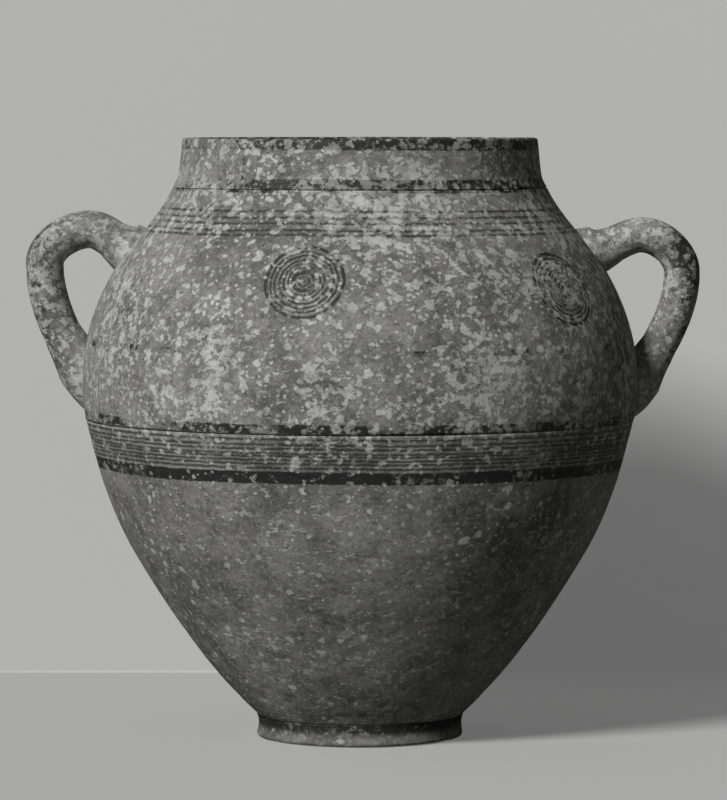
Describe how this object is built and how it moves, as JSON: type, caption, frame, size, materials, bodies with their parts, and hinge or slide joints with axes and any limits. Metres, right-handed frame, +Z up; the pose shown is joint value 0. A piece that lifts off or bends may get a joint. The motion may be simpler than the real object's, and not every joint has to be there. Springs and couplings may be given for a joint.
{
  "type": "two-handled pottery jar",
  "caption": "Wheel-thrown pottery jar with a swelling shoulder, short upright collar, low foot ring and a loop handle on each side of the shoulder.",
  "frame": {"origin": "on the wheel axis, on the plane the foot rests on", "axes": "+Z up along the wheel axis, -Y towards the front, the handles stand out along -X and +X"},
  "size_m": [0.3717, 0.3064, 0.33],
  "materials": {
    "body": "matt fired clay with lime crust and worn dark paint",
    "foot": "matt fired clay, worn",
    "sherd": "matt fired clay, pale and worn",
    "handle": "matt fired clay with lime crust and worn dark paint"
  },
  "bodies": {
    "root": {"foot_ring": "foot", "lower_bowl": "body", "shoulder_section": "body", "collar": "body", "rejoined_rim_sherd": "sherd", "left_handle": "handle", "left_handle_upper_wad": "handle", "left_handle_lower_wad": "handle", "right_handle": "handle", "right_handle_upper_wad": "handle", "right_handle_lower_wad": "handle"}
  },
  "joints": []
}
